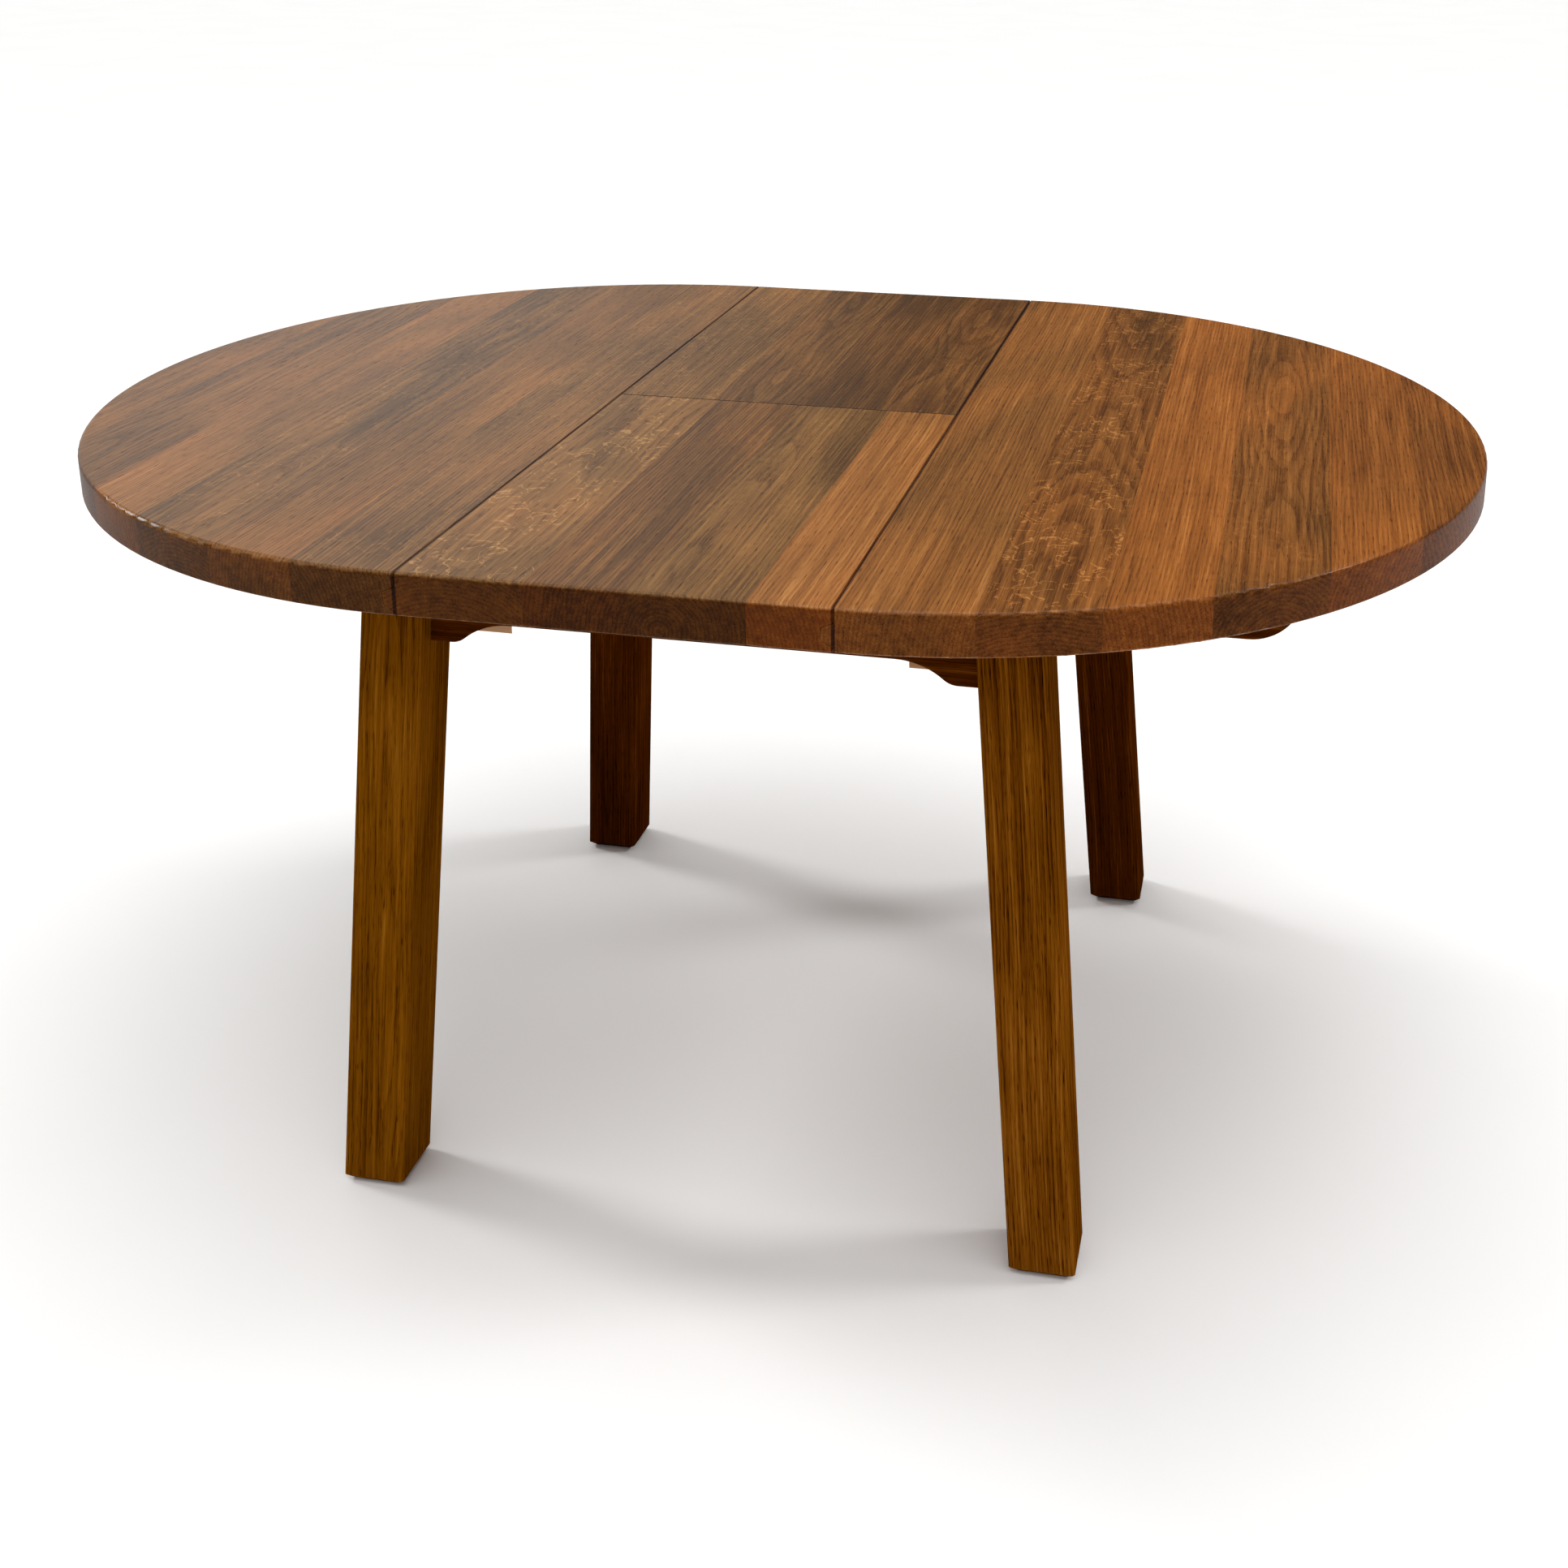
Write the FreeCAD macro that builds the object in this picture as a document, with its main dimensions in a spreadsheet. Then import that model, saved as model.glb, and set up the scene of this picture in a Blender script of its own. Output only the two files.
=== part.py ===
import FreeCAD, Part
import math
import operator
import os

import Sketcher

# Extending round dining table. Two half-round ends slide apart on runners, and a leaf in two
# hinged panels fills the gap between them. The frame is four splayed square legs and four rails
# with ogee ends. +X is the long axis, -Y the front, +Z up; the origin is on the floor, at the
# middle of the table. Lengths are in millimetres, splays in millimetres per millimetre of height.

SIZES = [
    ("table_height", 760, "floor to the top surface"),
    ("top_radius", 550, "radius of each half-round end"),
    ("leaf_width", 378, "leaf, from seam to seam"),
    ("top_thickness", 39, "thickness of the top and the leaf"),
    ("rim_upper_radius", 4, "rounding of the rim's upper edge"),
    ("rim_lower_radius", 2, "rounding of the rim's lower edge"),
    ("seam_radius", 0.8, "easing of the upper edges at the seams"),
    ("seam_gap", 0.8, "gap between the top's pieces"),
    ("tongue_reach", 10.5, "how far a tongue stands out of its edge"),
    ("tongue_shoulder", 13.3, "top surface down to the root of a tongue"),
    ("tongue_slope", 4.5, "drop of a tongue's upper side"),
    ("tongue_nose", 10.9, "height of a tongue's blunt end"),
    ("tongue_return", 6.4, "drop of a tongue's lower side"),
    ("tongue_length", 60, "length of each tongue, measured in from the rim"),
    ("tongue_gap", 0.4, "clearance of a tongue in its groove"),
    ("top_gap", 0.4, "clearance between the top and the frame under it"),
    ("leg_section", 66, "side of a leg's square section"),
    ("leg_reach_x", 385, "table centre to a leg's outer end face, at the floor"),
    ("leg_reach_y", 386, "table centre to a leg's outer side face, at the floor"),
    ("leg_splay_x", 0.077, "inward lean along the table, per unit of height"),
    ("leg_splay_y", 0.073, "inward lean across the table, per unit of height"),
    ("leg_edge_radius", 3.5, "easing of a leg's long edges"),
    ("foot_chamfer", 7, "chamfer round a leg's foot"),
    ("rail_thickness", 26, "thickness of the rails"),
    ("rail_setback", 9, "a rail's outer face behind the leg's face, at the top"),
    ("rail_end_depth", 125, "depth of a rail beside the legs"),
    ("rail_middle_depth", 103, "depth of a rail between its ogees"),
    ("rail_flat", 22, "flat of a rail's lower edge beside the leg"),
    ("ogee_length", 60, "length of the ogee in a rail's lower edge"),
    ("ogee_nose_share", 0.226, "share of the ogee that is its rounded nose"),
    ("tenon_thickness", 10, "thickness of the tenons on the rails"),
    ("tenon_length", 28, "how far a tenon goes into its leg"),
    ("side_tenon_depth", 80, "height of a long rail's tenon"),
    ("end_tenon_depth", 34, "height of an end rail's tenon, under the runner"),
    ("tenon_rise", 6, "rail's lower edge up to its tenon"),
    ("runner_width", 28, "thickness of a runner"),
    ("runner_depth", 80, "depth of a runner"),
    ("runner_pair_gap", 12, "wood left between the outer and the inner runner"),
    ("runner_leg_gap", 1.8, "outer runner to the leg beside it"),
    ("runner_side_gap", 0.5, "clearance each side of a runner in its notch"),
    ("runner_tip", 371, "seam to the outer tip of a runner"),
    ("runner_nose_length", 46, "length of the rounded nose of a runner"),
    ("runner_nose_rise", 33, "height of the rounded nose of a runner"),
    ("runner_parking_gap", 5, "closed table: runner's inner end to the far rail"),
    ("bearer_width", 40, "width of the centre bearer and the shelf battens"),
    ("shelf_thickness", 16, "thickness of the shelf battens"),
    ("shelf_drop", 6, "underside of the runners down to the shelf"),
    ("batten_offset", 160, "table centre to the middle of a shelf batten"),
    ("block_reach", 95, "rail corner to a corner block's far end"),
    ("block_width", 30, "thickness of a corner block across its diagonal"),
    ("block_height", 40, "height of a corner block"),
    ("block_drop", 3, "underside of the runners down to a corner block"),
    ("leg_bolt_radius", 4, "leg bolt"),
    ("leg_bolt_grip", 42, "how deep a leg bolt goes into its leg"),
    ("leg_bolt_tail", 10, "leg bolt's thread past its corner block"),
    ("bolt_play", 0.5, "clearance of a leg bolt in its corner block"),
    ("nut_flats", 13, "leg nut, across the flats"),
    ("nut_height", 6.5, "leg nut"),
    ("dowel_radius", 4, "dowels of the bearer and the battens"),
    ("dowel_in_rail", 14, "depth of a dowel in its rail"),
    ("dowel_in_bearer", 24, "depth of a dowel in the bearer or batten"),
    ("dowel_pitch", 20, "between the two dowels of a bearer's end"),
    ("batten_dowel_pitch", 10, "between the two dowels of a batten's end"),
    ("screw_radius", 2.5, "runner screw's shank"),
    ("screw_head_radius", 4.75, "runner screw's head"),
    ("screw_head_height", 4, "runner screw's head"),
    ("screw_grip", 24, "how deep a runner screw goes into the top"),
    ("screw_seat", 34, "wood between a runner screw's head and the top"),
    ("counterbore_play", 1, "clearance round a runner screw's head"),
    ("screw_first", 40, "seam to the first runner screw"),
    ("screw_pitch", 145, "between the screws along a runner"),
    ("slide_travel", 40, "how far each half pulls out past the leaf"),
    ("peg_radius", 4, "stop peg"),
    ("peg_projection", 5, "stop peg below its runner"),
    ("peg_grip", 20, "depth of a stop peg in its runner"),
    ("peg_gap", 0.4, "stop peg to the bearer with the half pulled right out"),
    ("barrel_radius", 7, "concealed hinge's barrel"),
    ("barrel_length", 22, "depth of a hinge barrel in the leaf's edge"),
    ("barrel_pitch", 120, "between the three hinges along the leaf's joint"),
    ("link_thickness", 3, "hinge link"),
    ("link_height", 10, "hinge link"),
    ("link_in_front", 14, "reach of a hinge link into the front barrel"),
    ("link_in_rear", 8, "reach of a hinge link into the rear barrel"),
    ("link_gap", 0.4, "clearance of a link in the barrels' slots"),
    ("link_pin_radius", 1.5, "pin that holds a link in the front barrel"),
    ("link_pin_length", 10.5, "pin that holds a link in the front barrel"),
    ("link_pin_setback", 8, "leaf's joint back to the link's pin"),
]

# Overrun of a cutting tool past the face that it leaves.
OVERRUN = 5.0
# The corners of the table, as a name and the sign of each axis.
CORNERS = [
    ("front_left", -1, -1),
    ("front_right", 1, -1),
    ("rear_left", -1, 1),
    ("rear_right", 1, 1),
]

DOC = FreeCAD.newDocument("extending_table")
EXPORTS = []


class Size:
    """A number, together with the spreadsheet expression that it stands for."""

    def __init__(self, number, text):
        self.number = float(number)
        self.text = text

    def __add__(self, other):
        return combine(self, "+", other)

    def __radd__(self, other):
        return combine(other, "+", self)

    def __sub__(self, other):
        return combine(self, "-", other)

    def __rsub__(self, other):
        return combine(other, "-", self)

    def __mul__(self, other):
        return combine(self, "*", other)

    def __rmul__(self, other):
        return combine(other, "*", self)

    def __truediv__(self, other):
        return combine(self, "/", other)

    def __neg__(self):
        return combine(0, "-", self)


OPERATIONS = {
    "+": operator.add,
    "-": operator.sub,
    "*": operator.mul,
    "/": operator.truediv,
}


def as_size(value):
    if isinstance(value, Size):
        return value
    return Size(value, "(%r)" % float(value))


def combine(left, sign, right):
    left = as_size(left)
    right = as_size(right)
    number = OPERATIONS[sign](left.number, right.number)
    return Size(number, "(%s %s %s)" % (left.text, sign, right.text))


def write_sheet():
    """Put the driving dimensions in a spreadsheet and return them by name."""
    sheet = DOC.addObject("Spreadsheet::Sheet", "Sizes")
    sizes = {}
    for row, (alias, number, note) in enumerate(SIZES, start=1):
        sheet.set("A%d" % row, alias)
        sheet.set("B%d" % row, str(number))
        sheet.setAlias("B%d" % row, alias)
        sheet.set("C%d" % row, note)
        sizes[alias] = Size(number, "Sizes.%s" % alias)
    DOC.recompute()
    return sizes


def bind(thing, path, value):
    thing.setExpression(path, as_size(value).text)


def place(thing, x=0, y=0, z=0):
    """Bind a primitive's position to the sheet."""
    bind(thing, "Placement.Base.x", x)
    bind(thing, "Placement.Base.y", y)
    bind(thing, "Placement.Base.z", z)


def export(thing, node):
    """Name a sub-part after its node and list it for export."""
    thing.Label = node
    EXPORTS.append(thing)
    return thing


# --- PartDesign helpers ---------------------------------------------------------------------


def new_body(name):
    return DOC.addObject("PartDesign::Body", name + "_body")


def new_sketch(body, name, role, offset=0):
    """A sketch on one of the body's own origin planes, moved along that plane's normal."""
    sketch = body.newObject("Sketcher::SketchObject", name)
    plane = [item for item in body.Origin.OriginFeatures if item.Role == role][0]
    sketch.AttachmentSupport = [(plane, "")]
    sketch.MapMode = "FlatFace"
    bind(sketch, "AttachmentOffset.Base.z", offset)
    return sketch


def arc_through(start, end, heading):
    """The arc from start to end that leaves start along heading, and whether it turns left."""
    chord = end - start
    left = FreeCAD.Vector(-heading.y, heading.x, 0)
    lean = chord.dot(left)
    turns_left = lean > 0
    radius = chord.dot(chord) / (2 * lean)
    centre = start + left * radius
    towards = (start - centre) + (end - centre)
    middle = centre + towards.normalize() * abs(radius)
    return Part.Arc(start, middle, end), turns_left


def draw_outline(sketch, corners, arcs=None):
    """Draw a closed outline and bind each corner to the sheet.

    corners are (across, up) pairs. arcs says which edges are arcs: the edge's number, and
    "start" or "end" for the end at which it is tangent to the straight edge next to it.
    """
    arcs = arcs or {}
    count = len(corners)
    points = []
    for across, up in corners:
        points.append(FreeCAD.Vector(as_size(across).number, as_size(up).number, 0))
    begins = {}
    for edge in range(count):
        start = points[edge]
        end = points[(edge + 1) % count]
        begins[edge] = 1
        if edge not in arcs:
            sketch.addGeometry(Part.LineSegment(start, end))
            continue
        if arcs[edge] == "start":
            heading = start - points[edge - 1]
            arc, turns_left = arc_through(start, end, heading.normalize())
        else:
            heading = end - points[(edge + 2) % count]
            arc, turns_right = arc_through(end, start, heading.normalize())
            turns_left = not turns_right
        sketch.addGeometry(arc)
        if not turns_left:
            begins[edge] = 2
    for edge in range(count):
        after = (edge + 1) % count
        stop = 3 - begins[edge]
        tangent = arcs.get(edge) == "end" or arcs.get(after) == "start"
        kind = "Tangent" if tangent else "Coincident"
        sketch.addConstraint(Sketcher.Constraint(kind, edge, stop, after, begins[after]))
    for edge, (across, up) in enumerate(corners):
        for kind, value in (("DistanceX", across), ("DistanceY", up)):
            number = as_size(value).number
            rule = Sketcher.Constraint(kind, -1, 1, edge, begins[edge], number)
            name = "%s%d" % (kind, edge)
            sketch.renameConstraint(sketch.addConstraint(rule), name)
            bind(sketch, "Constraints." + name, value)


def extrude(body, kind, name, sketch, length, both_ways=True):
    """Pad or pocket a sketch by a bound length, both ways from its plane or one way only."""
    feature = body.newObject("PartDesign::" + kind, name)
    feature.Profile = sketch
    if both_ways:
        feature.SideType = "Symmetric"
    bind(feature, "Length", length)
    DOC.recompute()
    return feature


def edges_where(feature, test):
    names = []
    for number, edge in enumerate(feature.Shape.Edges, start=1):
        if test(edge):
            names.append("Edge%d" % number)
    return names


def ease(body, kind, name, test, size):
    """Fillet or chamfer the edges of the body's tip that pass the test."""
    feature = body.newObject("PartDesign::" + kind, name)
    base = body.Tip if body.Tip != feature else feature.BaseFeature
    feature.Base = (base, edges_where(base, test))
    bind(feature, "Radius" if kind == "Fillet" else "Size", size)
    DOC.recompute()
    return feature


# --- Part helpers ---------------------------------------------------------------------------


def make_box(name, x, y, z):
    """A box between two bounds on each axis."""
    thing = DOC.addObject("Part::Box", name)
    for side, (low, high) in (("Length", x), ("Width", y), ("Height", z)):
        bind(thing, side, as_size(high) - low)
    place(thing, x[0], y[0], z[0])
    return thing


def make_rod(name, radius, length, base, axis):
    """A cylinder from base, along axis."""
    thing = DOC.addObject("Part::Cylinder", name)
    bind(thing, "Radius", radius)
    bind(thing, "Height", length)
    up = FreeCAD.Vector(0, 0, 1)
    thing.Placement.Rotation = FreeCAD.Rotation(up, FreeCAD.Vector(*axis))
    place(thing, *base)
    return thing


def make_group(name, shapes):
    group = DOC.addObject("Part::Compound", name)
    group.Links = shapes
    return group


def cut_from(name, base, tools):
    cut = DOC.addObject("Part::Cut", name)
    cut.Base = base
    cut.Tool = make_group(name + "_tools", tools)
    return cut


# --- Shared places --------------------------------------------------------------------------

S = write_sheet()

TOP_UNDERSIDE = S["table_height"] - S["top_thickness"]
FRAME_TOP = TOP_UNDERSIDE - S["top_gap"]
SEAM = S["leaf_width"] / 2
HALF_GAP = S["seam_gap"] / 2
RAIL_BOTTOM = FRAME_TOP - S["rail_end_depth"]
RUNNER_BOTTOM = TOP_UNDERSIDE - S["runner_depth"]
SHELF_TOP = RUNNER_BOTTOM - S["shelf_drop"]
SHELF_BOTTOM = SHELF_TOP - S["shelf_thickness"]


def leg_outer(reach, splay, height):
    return S[reach] - S[splay] * height


def leg_inner(reach, splay, height):
    return leg_outer(reach, splay, height) - S["leg_section"]


LEG_X = ("leg_reach_x", "leg_splay_x")
LEG_Y = ("leg_reach_y", "leg_splay_y")
RAIL_OUTER_X = leg_outer(*LEG_X, FRAME_TOP) - S["rail_setback"]
RAIL_OUTER_Y = leg_outer(*LEG_Y, FRAME_TOP) - S["rail_setback"]
RAIL_INNER_X = RAIL_OUTER_X - S["rail_thickness"]
RAIL_INNER_Y = RAIL_OUTER_Y - S["rail_thickness"]
# Each pair of runners, as the distance of its inner side from the table's long axis.
OUTER_RUNNER = leg_inner(*LEG_Y, FRAME_TOP) - S["runner_leg_gap"] - S["runner_width"]
INNER_RUNNER = OUTER_RUNNER - S["runner_pair_gap"] - S["runner_width"]
RUNNERS = {"right": OUTER_RUNNER, "left": INNER_RUNNER}
RUNNER_TAIL = RAIL_INNER_X - SEAM - S["runner_parking_gap"]
RUNNER_TIP = SEAM + S["runner_tip"]
SCREW_XS = [SEAM + S["screw_first"] + S["screw_pitch"] * number for number in range(3)]
SCREW_HEAD_TOP = TOP_UNDERSIDE - S["screw_seat"]
PEG_X = S["bearer_width"] / 2 + S["slide_travel"] + S["peg_gap"] + S["peg_radius"]
BARREL_Z = S["table_height"] - S["top_thickness"] / 2
HINGE_XS = [S["barrel_pitch"] * number for number in (-1, 0, 1)]


# --- The top --------------------------------------------------------------------------------


def tongue_outline(side, gap):
    """The tongue's section at a seam, grown by gap all round for a groove. side is +1 or -1."""
    root = side * SEAM + HALF_GAP + OVERRUN
    neck = side * SEAM + HALF_GAP
    nose = neck - S["tongue_reach"] - gap
    upper_root = S["table_height"] - S["tongue_shoulder"] + gap
    upper_nose = upper_root - S["tongue_slope"]
    lower_nose = upper_nose - S["tongue_nose"] - gap * 2
    lower_root = lower_nose - S["tongue_return"]
    return [
        (root, upper_root),
        (neck, upper_root),
        (nose, upper_nose),
        (nose, lower_nose),
        (neck, lower_root),
        (root, lower_root),
    ]


def add_tongue(body, name, side, end):
    """A short tongue at one end of a seam, flush with the rim. end is the sign of its Y."""
    middle = S["top_radius"] - S["tongue_length"] / 2
    sketch = new_sketch(body, name + "_section", "XZ_Plane", -end * middle)
    draw_outline(sketch, tongue_outline(side, 0))
    extrude(body, "Pad", name, sketch, S["tongue_length"])


def add_groove(body, name, side):
    """A groove along the whole seam, cut in the piece on the tongue's pointing side."""
    sketch = new_sketch(body, name + "_section", "XZ_Plane")
    draw_outline(sketch, tongue_outline(side, S["tongue_gap"]))
    extrude(body, "Pocket", name, sketch, S["top_radius"] * 2 + OVERRUN)


def at_height(edge, size):
    box = edge.BoundBox
    level = as_size(size).number
    return abs(box.ZMin - level) < 0.001 and abs(box.ZMax - level) < 0.001


def along_y(edge):
    return edge.BoundBox.XLength < 0.001


def along_x(edge):
    return edge.BoundBox.YLength < 0.001


def ease_top(body, on_rim, on_seam):
    """Round the rim above and below, and ease the upper edges at the seams."""
    height = S["table_height"]
    ease(body, "Fillet", body.Name + "_rim_top",
         lambda edge: at_height(edge, height) and on_rim(edge), S["rim_upper_radius"])
    ease(body, "Fillet", body.Name + "_rim_under",
         lambda edge: at_height(edge, TOP_UNDERSIDE) and on_rim(edge), S["rim_lower_radius"])
    ease(body, "Fillet", body.Name + "_seam_top",
         lambda edge: at_height(edge, height) and on_seam(edge), S["seam_radius"])


def build_half(name, side):
    """One half-round end, with its screw holes. side is +1 on the right."""
    body = new_body(name)
    edge = side * (SEAM + HALF_GAP)
    radius = S["top_radius"]
    sketch = new_sketch(body, name + "_plan", "XY_Plane", TOP_UNDERSIDE)
    shift = side * radius
    corners = [(edge, -radius), (edge + shift, 0), (edge, radius)]
    draw_half_round(sketch, corners, edge, radius)
    extrude(body, "Pad", name + "_board", sketch, S["top_thickness"], both_ways=False)
    ease_top(body, lambda item: not along_y(item), along_y)
    if side > 0:
        add_tongue(body, name + "_front_tongue", side, -1)
        add_tongue(body, name + "_rear_tongue", side, 1)
    else:
        add_groove(body, name + "_groove", side)
    holes = []
    for index, (x, y) in enumerate(screw_places(side)):
        base = (x, y, TOP_UNDERSIDE - OVERRUN)
        depth = S["screw_grip"] + OVERRUN
        holes.append(make_rod("%s_hole_%d" % (name, index), S["screw_radius"], depth, base,
                              (0, 0, 1)))
    export(cut_from(name + "_drilled", body, holes), name)


def draw_half_round(sketch, corners, edge, radius):
    """A half disc: an arc about the middle of its straight edge, closed by that edge."""
    points = []
    for across, up in corners:
        points.append(FreeCAD.Vector(as_size(across).number, as_size(up).number, 0))
    sketch.addGeometry(Part.Arc(*points))
    sketch.addGeometry(Part.LineSegment(points[2], points[0]))
    first, last = (1, 2) if points[1].x > points[0].x else (2, 1)
    rules = [
        (None, Sketcher.Constraint("Coincident", 0, last, 1, 1), None),
        (None, Sketcher.Constraint("Coincident", 1, 2, 0, first), None),
        ("centre_x", Sketcher.Constraint("DistanceX", -1, 1, 0, 3, points[0].x), edge),
        ("centre_y", Sketcher.Constraint("DistanceY", -1, 1, 0, 3, 0.0), None),
        ("radius", Sketcher.Constraint("Radius", 0, radius.number), radius),
        ("edge_start", Sketcher.Constraint("DistanceX", -1, 1, 1, 1, points[0].x), edge),
        ("edge_end", Sketcher.Constraint("DistanceX", -1, 1, 1, 2, points[0].x), edge),
    ]
    for name, rule, value in rules:
        index = sketch.addConstraint(rule)
        if name:
            sketch.renameConstraint(index, name)
        if value is not None:
            bind(sketch, "Constraints." + name, value)


def build_leaf_panel(name, end):
    """One panel of the leaf, with its hinge mortises. end is the sign of its Y."""
    body = new_body(name)
    right = SEAM - HALF_GAP
    left = HALF_GAP - SEAM
    joint = end * HALF_GAP
    rim = end * S["top_radius"]
    sketch = new_sketch(body, name + "_plan", "XY_Plane", TOP_UNDERSIDE)
    draw_outline(sketch, [(left, joint), (right, joint), (right, rim), (left, rim)])
    extrude(body, "Pad", name + "_board", sketch, S["top_thickness"], both_ways=False)

    def on_rim(edge):
        return along_x(edge) and abs(edge.BoundBox.YMin - rim.number) < 0.001

    ease_top(body, on_rim, lambda edge: not on_rim(edge) and (along_x(edge) or along_y(edge)))
    add_tongue(body, name + "_tongue", -1, end)
    add_groove(body, name + "_groove", 1)
    mortises = []
    for index, x in enumerate(HINGE_XS):
        mortises.append(make_rod("%s_mortise_%d" % (name, index), S["barrel_radius"],
                                 S["barrel_length"] + HALF_GAP, (x, 0, BARREL_Z), (0, end, 0)))
    export(cut_from(name + "_mortised", body, mortises), name)


# --- The leaf's concealed hinges ------------------------------------------------------------


def build_hinge_barrels(name, end, slot_depth):
    """Three barrels let into one panel's meeting edge, each with a slot for the link."""
    barrels = []
    half_slot = S["link_thickness"] / 2 + S["link_gap"]
    slot_reach = S["barrel_radius"] + OVERRUN
    for index, x in enumerate(HINGE_XS):
        label = "%s_%d" % (name, index)
        barrel = make_rod(label + "_round", S["barrel_radius"], S["barrel_length"],
                          (x, end * HALF_GAP, BARREL_Z), (0, end, 0))
        ys = (-slot_depth, OVERRUN) if end < 0 else (-OVERRUN, slot_depth)
        slot = make_box(label + "_slot", (x - half_slot, x + half_slot), ys,
                        (BARREL_Z - slot_reach, BARREL_Z + slot_reach))
        tools = [slot]
        if end < 0:
            tools.append(link_pin(label + "_bore", x, 0))
        barrels.append(cut_from(label, barrel, tools))
    export(make_group(name + "_group", barrels), name)


def link_pin(name, x, gap):
    """The pin that holds a link in its front barrel, across the slot."""
    length = S["link_pin_length"]
    return make_rod(name, S["link_pin_radius"] + gap, length,
                    (x - length / 2, -S["link_pin_setback"], BARREL_Z), (1, 0, 0))


def build_hinge_links():
    links = []
    pins = []
    half = S["link_thickness"] / 2
    for index, x in enumerate(HINGE_XS):
        plate = make_box("link_plate_%d" % index, (x - half, x + half),
                         (-S["link_in_front"], S["link_in_rear"]),
                         (BARREL_Z - S["link_height"] / 2, BARREL_Z + S["link_height"] / 2))
        bore = link_pin("link_bore_%d" % index, x, 0)
        links.append(cut_from("link_%d" % index, plate, [bore]))
        pins.append(link_pin("link_pin_%d" % index, x, 0))
    export(make_group("hinge_links_group", links), "hinge_links")
    export(make_group("hinge_pins_group", pins), "hinge_pins")


# --- Runners, their screws and their stop pegs ------------------------------------------------


def screw_places(side):
    """The (x, y) of each screw of one half's two runners."""
    centre = RUNNERS["right" if side > 0 else "left"] + S["runner_width"] / 2
    return [(side * x, end * centre) for x in SCREW_XS for end in (-1, 1)]


def build_runner(name, side, end):
    """A slide bar fixed under one half: counterbored for its screws, drilled for its peg."""
    inner = RUNNERS["right" if side > 0 else "left"]
    centre = inner + S["runner_width"] / 2
    tail = -side * RUNNER_TAIL
    tip = side * RUNNER_TIP
    nose = side * (RUNNER_TIP - S["runner_nose_length"])
    body = new_body(name)
    sketch = new_sketch(body, name + "_side", "XZ_Plane", -end * centre)
    corners = [
        (tail, TOP_UNDERSIDE),
        (tail, RUNNER_BOTTOM),
        (nose, RUNNER_BOTTOM),
        (tip, RUNNER_BOTTOM + S["runner_nose_rise"]),
        (tip, TOP_UNDERSIDE),
    ]
    draw_outline(sketch, corners, {2: "start"})
    extrude(body, "Pad", name + "_bar", sketch, S["runner_width"])
    tools = []
    for index, x in enumerate(SCREW_XS):
        bore_base = (side * x, end * centre, RUNNER_BOTTOM - OVERRUN)
        bore_depth = SCREW_HEAD_TOP - RUNNER_BOTTOM + OVERRUN
        tools.append(make_rod("%s_bore_%d" % (name, index),
                              S["screw_head_radius"] + S["counterbore_play"], bore_depth,
                              bore_base, (0, 0, 1)))
        tools.append(make_rod("%s_shank_%d" % (name, index), S["screw_radius"],
                              S["screw_seat"] + OVERRUN,
                              (side * x, end * centre, SCREW_HEAD_TOP), (0, 0, 1)))
    tools.append(make_rod(name + "_peg_hole", S["peg_radius"], S["peg_grip"] + OVERRUN,
                          (-side * PEG_X, end * centre, RUNNER_BOTTOM - OVERRUN), (0, 0, 1)))
    export(cut_from(name + "_drilled", body, tools), name)


def build_runner_screws(name, side):
    screws = []
    for index, (x, y) in enumerate(screw_places(side)):
        head = make_rod("%s_head_%d" % (name, index), S["screw_head_radius"],
                        S["screw_head_height"], (x, y, SCREW_HEAD_TOP - S["screw_head_height"]),
                        (0, 0, 1))
        shank = make_rod("%s_shank_%d" % (name, index), S["screw_radius"],
                         S["screw_seat"] + S["screw_grip"], (x, y, SCREW_HEAD_TOP), (0, 0, 1))
        screw = DOC.addObject("Part::Fuse", "%s_%d" % (name, index))
        screw.Base = head
        screw.Tool = shank
        screws.append(screw)
    export(make_group(name + "_group", screws), name)


def build_stop_pegs(name, side):
    centre = RUNNERS["right" if side > 0 else "left"] + S["runner_width"] / 2
    pegs = []
    for end in (-1, 1):
        pegs.append(make_rod("%s_%d" % (name, end + 1), S["peg_radius"],
                             S["peg_projection"] + S["peg_grip"],
                             (-side * PEG_X, end * centre, RUNNER_BOTTOM - S["peg_projection"]),
                             (0, 0, 1)))
    export(make_group(name + "_group", pegs), name)


# --- Legs and rails -------------------------------------------------------------------------


def draw_rounded_square(sketch, x_from, x_to, y_from, y_to):
    """A leg's section: straight sides with eased corners."""
    step_x = S["leg_edge_radius"] * math.copysign(1, x_to.number - x_from.number)
    step_y = S["leg_edge_radius"] * math.copysign(1, y_to.number - y_from.number)
    corners = [
        (x_from + step_x, y_from),
        (x_to - step_x, y_from),
        (x_to, y_from + step_y),
        (x_to, y_to - step_y),
        (x_to - step_x, y_to),
        (x_from + step_x, y_to),
        (x_from, y_to - step_y),
        (x_from, y_from + step_y),
    ]
    draw_outline(sketch, corners, {1: "start", 3: "start", 5: "start", 7: "start"})


def leg_outline(body, name, side, end, height, inset):
    """The leg's section at a height, drawn in by inset on every side."""
    sketch = new_sketch(body, name, "XY_Plane", height)
    draw_rounded_square(sketch,
                        side * (leg_outer(*LEG_X, height) - inset),
                        side * (leg_inner(*LEG_X, height) + inset),
                        end * (leg_outer(*LEG_Y, height) - inset),
                        end * (leg_inner(*LEG_Y, height) + inset))
    return sketch


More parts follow.
